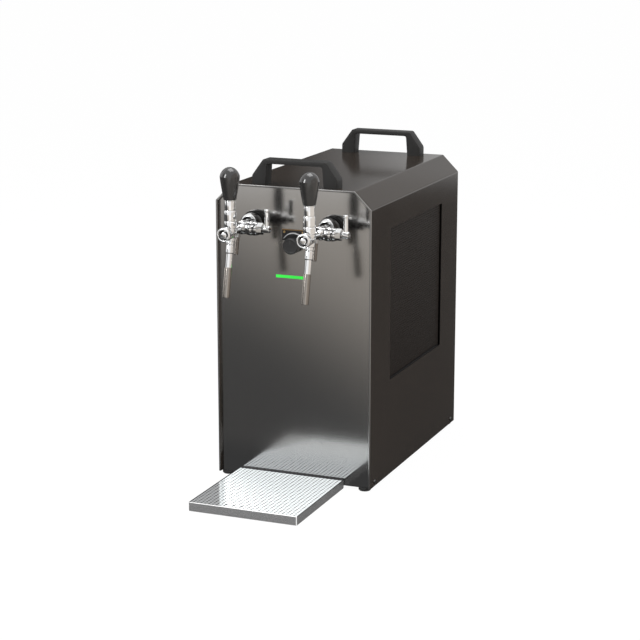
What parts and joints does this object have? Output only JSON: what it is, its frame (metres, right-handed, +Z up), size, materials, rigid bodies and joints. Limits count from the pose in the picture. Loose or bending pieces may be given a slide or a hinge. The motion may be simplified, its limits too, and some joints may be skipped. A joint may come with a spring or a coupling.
{
  "type": "portable beer dispenser",
  "caption": "Portable over-counter beer cooler: sheet-steel cabinet, chrome taps with black knobs, thermostat, carrying handles, drip tray, and the cooling and air sets inside.",
  "frame": {"origin": "on the counter, at the middle of the bounding box in X and Y: midway between the tray's front edge and the ends of the rear beer inlets", "axes": "+X to the right seen from the front, +Y from the taps to the rear, +Z up"},
  "size_m": [0.2948, 0.689, 0.5735],
  "materials": {
    "cover_paint": "dark grey-brown powder coat, satin",
    "pan_steel": "dark paint on sheet steel",
    "dark_steel": "dark brushed steel, near mirror",
    "screen_paint": "dark powder coat, satin",
    "rubber": "black rubber, matte",
    "handle_plastic": "black moulded plastic, satin",
    "screw_steel": "zinc-plated steel",
    "black_screw": "black oxide",
    "green_print": "bright green plain strip",
    "tray_steel": "bright stainless sheet",
    "chrome": "polished chrome plate",
    "black_gloss": "black moulded plastic, polished",
    "satin_steel": "satin stainless tube",
    "brass": "machined brass",
    "grey_plastic": "grey moulded plastic",
    "knob_plastic": "black moulded plastic, satin",
    "foam": "cream rigid foam",
    "cast_aluminium": "cast aluminium",
    "line_plastic": "white beer tube",
    "compressor_paint": "black enamel",
    "copper": "copper tube",
    "galvanised": "galvanised sheet",
    "black_plastic": "black moulded plastic",
    "cable": "black cable sheath",
    "red_plastic": "red moulded plastic"
  },
  "bodies": {
    "cabinet": {"base_pan": "pan_steel", "cover": "cover_paint", "front_panel": "dark_steel", "rear_panel": "cover_paint", "side_screen_left": "screen_paint", "side_screen_right": "screen_paint", "feet": "rubber", "carry_handle_front": "handle_plastic", "carry_handle_rear": "handle_plastic", "handle_screws": "screw_steel", "casing_screws": "black_screw", "accent_strip": "green_print", "tap_body_left": "chrome", "tap_body_right": "chrome", "tap_rosettes": "black_gloss", "shank_nuts": "brass", "face_rings": "chrome", "gland_nuts": "chrome", "vent_tubes": "chrome", "tap_spout_left": "chrome", "tap_spout_right": "chrome", "nozzle_left": "satin_steel", "nozzle_right": "satin_steel", "thermostat_plate": "black_plastic", "plate_screws": "brass", "thermostat_body": "grey_plastic", "insulation_box": "foam", "insulation_lid": "foam", "cooling_block": "cast_aluminium", "beer_lines": "line_plastic", "compressor": "compressor_paint", "compressor_mounts": "rubber", "refrigerant_pipes": "copper", "filter_drier": "copper", "mid_shelf": "galvanised", "condenser": "cast_aluminium", "fan_shroud": "black_plastic", "fan_motor": "pan_steel", "air_pump": "black_plastic", "air_hose": "line_plastic", "wiring_box": "grey_plastic", "wiring_harness": "cable", "beer_inlets": "satin_steel", "air_outlet": "brass", "mains_inlet": "black_plastic", "switch_frame": "black_plastic"},
    "lever_left": {"tap_lever_left": "chrome", "tap_knob_left": "black_gloss"},
    "lever_right": {"tap_lever_right": "chrome", "tap_knob_right": "black_gloss"},
    "compensator_left": {"compensator_lever_left": "chrome"},
    "compensator_right": {"compensator_lever_right": "chrome"},
    "thermostat_knob": {"thermostat_knob": "knob_plastic"},
    "tray": {"drip_tray": "tray_steel"},
    "grille": {"drip_grille": "tray_steel", "grille_rails": "tray_steel"},
    "fan": {"fan_rotor": "black_plastic"},
    "rocker": {"switch_rocker": "red_plastic"}
  },
  "joints": [
    {"name": "tap_left_pour", "type": "hinge", "parent": "cabinet", "child": "lever_left", "pos_m": [-0.072, -0.2355, 0.4665], "axis": [1, 0, 0], "range_deg": [-10, 30]},
    {"name": "tap_right_pour", "type": "hinge", "parent": "cabinet", "child": "lever_right", "pos_m": [0.072, -0.2355, 0.4665], "axis": [1, 0, 0], "range_deg": [-10, 30]},
    {"name": "compensator_left_turn", "type": "hinge", "parent": "cabinet", "child": "compensator_left", "pos_m": [-0.072, -0.1845, 0.4625], "axis": [1, 0, 0], "range_deg": [-45, 45]},
    {"name": "compensator_right_turn", "type": "hinge", "parent": "cabinet", "child": "compensator_right", "pos_m": [0.072, -0.1845, 0.4625], "axis": [1, 0, 0], "range_deg": [-45, 45]},
    {"name": "thermostat_turn", "type": "hinge", "parent": "cabinet", "child": "thermostat_knob", "pos_m": [0, -0.1385, 0.428], "axis": [0, 1, 0], "range_deg": [0, 270]},
    {"name": "tray_slide", "type": "slide", "parent": "cabinet", "child": "tray", "axis": [0, -1, 0], "range_m": [0, 0.06]},
    {"name": "grille_lift", "type": "slide", "parent": "tray", "child": "grille", "axis": [0, 0, 1], "range_m": [0, 0.05]},
    {"name": "fan_spin", "type": "hinge", "parent": "cabinet", "child": "fan", "pos_m": [0.075, 0.16999, 0.304], "axis": [1, 0, 0], "continuous": true},
    {"name": "rocker_tilt", "type": "hinge", "parent": "cabinet", "child": "rocker", "pos_m": [0.091, 0.3195, 0.087], "axis": [1, 0, 0], "range_deg": [0, 20]}
  ]
}
